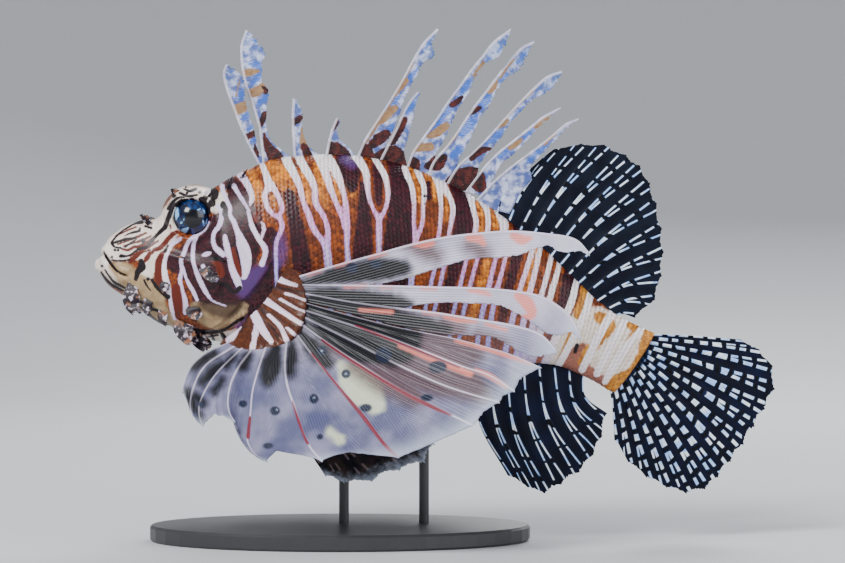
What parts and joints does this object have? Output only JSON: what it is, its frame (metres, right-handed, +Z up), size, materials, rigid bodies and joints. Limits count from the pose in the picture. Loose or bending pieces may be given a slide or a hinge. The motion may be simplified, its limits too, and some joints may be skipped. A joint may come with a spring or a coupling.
{
  "type": "red lionfish model",
  "caption": "Life-size still model of a striped lionfish with fanned fins and tall spines, held over an oval base by two thin rods.",
  "frame": {"origin": "middle of the underside of the stand's base", "axes": "+X towards the fish's tail, its left side towards -Y, +Z up"},
  "size_m": [0.3419, 0.1854, 0.2561],
  "materials": {
    "head_skin": "satin cream skin with maroon lines",
    "body_skin": "satin maroon and orange-brown skin with white lines",
    "eye": "glossy blue iris with a black pupil",
    "spine_skin": "pale skin with brown bands",
    "dark_fin": "dark blue skin with pale dashes and black spots",
    "pale_fin": "pale translucent skin with pink bands and dark spots",
    "brown_fin": "dark brown skin with pale tips",
    "stand_paint": "satin dark grey paint"
  },
  "bodies": {
    "root": {"head": "head_skin", "lower_jaw": "head_skin", "gill_cover_left": "body_skin", "gill_cover_right": "body_skin", "trunk": "body_skin", "tail_stalk": "body_skin", "eye_left": "eye", "eye_right": "eye", "dorsal_spines_front": "spine_skin", "dorsal_spines_rear": "spine_skin", "dorsal_fin_soft": "dark_fin", "anal_fin": "dark_fin", "tail_fin": "dark_fin", "pectoral_fin_left": "pale_fin", "pectoral_fin_right": "pale_fin", "pelvic_fin_left": "brown_fin", "pelvic_fin_right": "brown_fin", "stand_base": "stand_paint", "stand_rod_front": "stand_paint", "stand_rod_rear": "stand_paint"}
  },
  "joints": []
}
